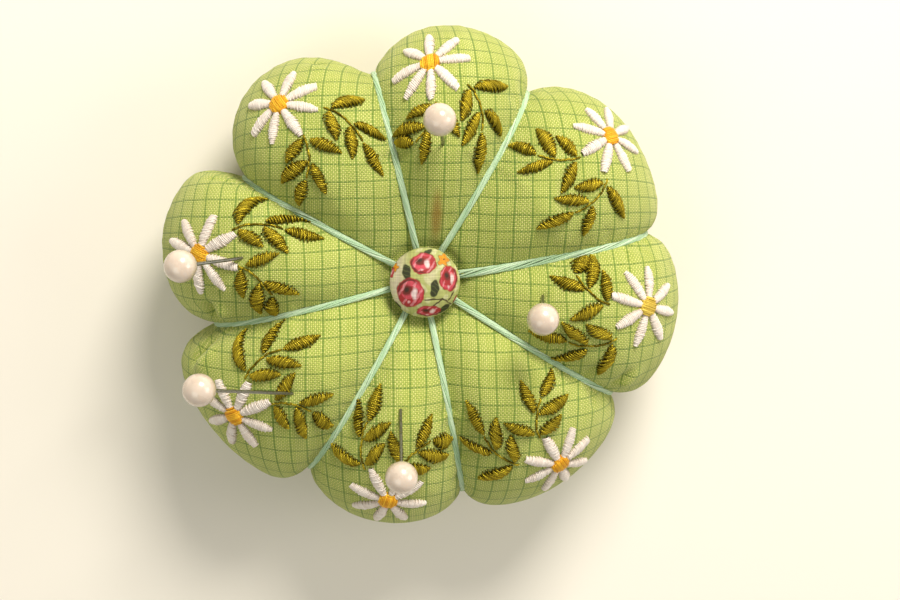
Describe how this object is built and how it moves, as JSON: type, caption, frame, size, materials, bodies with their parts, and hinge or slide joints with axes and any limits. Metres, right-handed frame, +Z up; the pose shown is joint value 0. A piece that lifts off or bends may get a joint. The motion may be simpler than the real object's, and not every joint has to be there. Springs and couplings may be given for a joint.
{
  "type": "pin cushion",
  "caption": "Flower-shaped stuffed cotton pin cushion with embroidered petals drawn in by floss between covered buttons, holding pearl-headed pins.",
  "frame": {"origin": "centre of the cushion's outline, on the surface it lies on", "axes": "+Z up out of the embroidered side, +X to the right and +Y to the top of the embroidered side as shown in the picture"},
  "size_m": [0.0992, 0.0965, 0.0559],
  "materials": {
    "green_check_cotton": "yarn-dyed check cotton, plain weave",
    "sewing_thread": "twisted thread",
    "cotton_stuffing": "loose cotton filling",
    "mint_floss": "stranded embroidery floss",
    "rose_print_cotton": "printed cotton, stretched over the button",
    "button_tin": "tinned steel",
    "white_floss": "satin stitch",
    "golden_floss": "satin stitch",
    "olive_floss": "satin stitch",
    "pin_steel": "polished nickel-plated steel",
    "pearl": "pearl lustre"
  },
  "bodies": {
    "cushion": {"top_panel": "green_check_cotton", "bottom_panel": "green_check_cotton", "seam_thread": "sewing_thread", "stuffing": "cotton_stuffing", "wrap_thread": "mint_floss", "button_tie": "sewing_thread", "top_button_cover": "rose_print_cotton", "top_button_shell": "button_tin", "top_button_back": "button_tin", "top_button_shank": "button_tin", "bottom_button_cover": "rose_print_cotton", "bottom_button_shell": "button_tin", "bottom_button_back": "button_tin", "bottom_button_shank": "button_tin", "daisy_petals_1": "white_floss", "daisy_centre_1": "golden_floss", "leaf_sprig_1a": "olive_floss", "leaf_sprig_1b": "olive_floss", "daisy_petals_2": "white_floss", "daisy_centre_2": "golden_floss", "leaf_sprig_2a": "olive_floss", "leaf_sprig_2b": "olive_floss", "daisy_petals_3": "white_floss", "daisy_centre_3": "golden_floss", "leaf_sprig_3a": "olive_floss", "leaf_sprig_3b": "olive_floss", "daisy_petals_4": "white_floss", "daisy_centre_4": "golden_floss", "leaf_sprig_4a": "olive_floss", "leaf_sprig_4b": "olive_floss", "daisy_petals_5": "white_floss", "daisy_centre_5": "golden_floss", "leaf_sprig_5a": "olive_floss", "leaf_sprig_5b": "olive_floss", "daisy_petals_6": "white_floss", "daisy_centre_6": "golden_floss", "leaf_sprig_6a": "olive_floss", "leaf_sprig_6b": "olive_floss", "daisy_petals_7": "white_floss", "daisy_centre_7": "golden_floss", "leaf_sprig_7a": "olive_floss", "leaf_sprig_7b": "olive_floss", "daisy_petals_8": "white_floss", "daisy_centre_8": "golden_floss", "leaf_sprig_8a": "olive_floss", "leaf_sprig_8b": "olive_floss"},
    "pin_1": {"pin_shaft_1": "pin_steel", "pearl_head_1": "pearl"},
    "pin_2": {"pin_shaft_2": "pin_steel", "pearl_head_2": "pearl"},
    "pin_3": {"pin_shaft_3": "pin_steel", "pearl_head_3": "pearl"},
    "pin_4": {"pin_shaft_4": "pin_steel", "pearl_head_4": "pearl"},
    "pin_5": {"pin_shaft_5": "pin_steel", "pearl_head_5": "pearl"}
  },
  "joints": [
    {"name": "pin_1_slide", "type": "slide", "parent": "cushion", "child": "pin_1", "axis": [-0.1087, 0.4098, 0.9057], "range_m": [-0.008, 0.027]},
    {"name": "pin_2_slide", "type": "slide", "parent": "cushion", "child": "pin_2", "axis": [-0.1005, -0.2714, 0.9572], "range_m": [-0.005, 0.0291]},
    {"name": "pin_3_slide", "type": "slide", "parent": "cushion", "child": "pin_3", "axis": [-0.0309, -0.5738, 0.8184], "range_m": [-0.008, 0.0228]},
    {"name": "pin_4_slide", "type": "slide", "parent": "cushion", "child": "pin_4", "axis": [-0.688, 0.1634, 0.7071], "range_m": [-0.016, 0.0157]},
    {"name": "pin_5_slide", "type": "slide", "parent": "cushion", "child": "pin_5", "axis": [-0.7687, -0.0222, 0.6392], "range_m": [-0.008, 0.0255]}
  ]
}
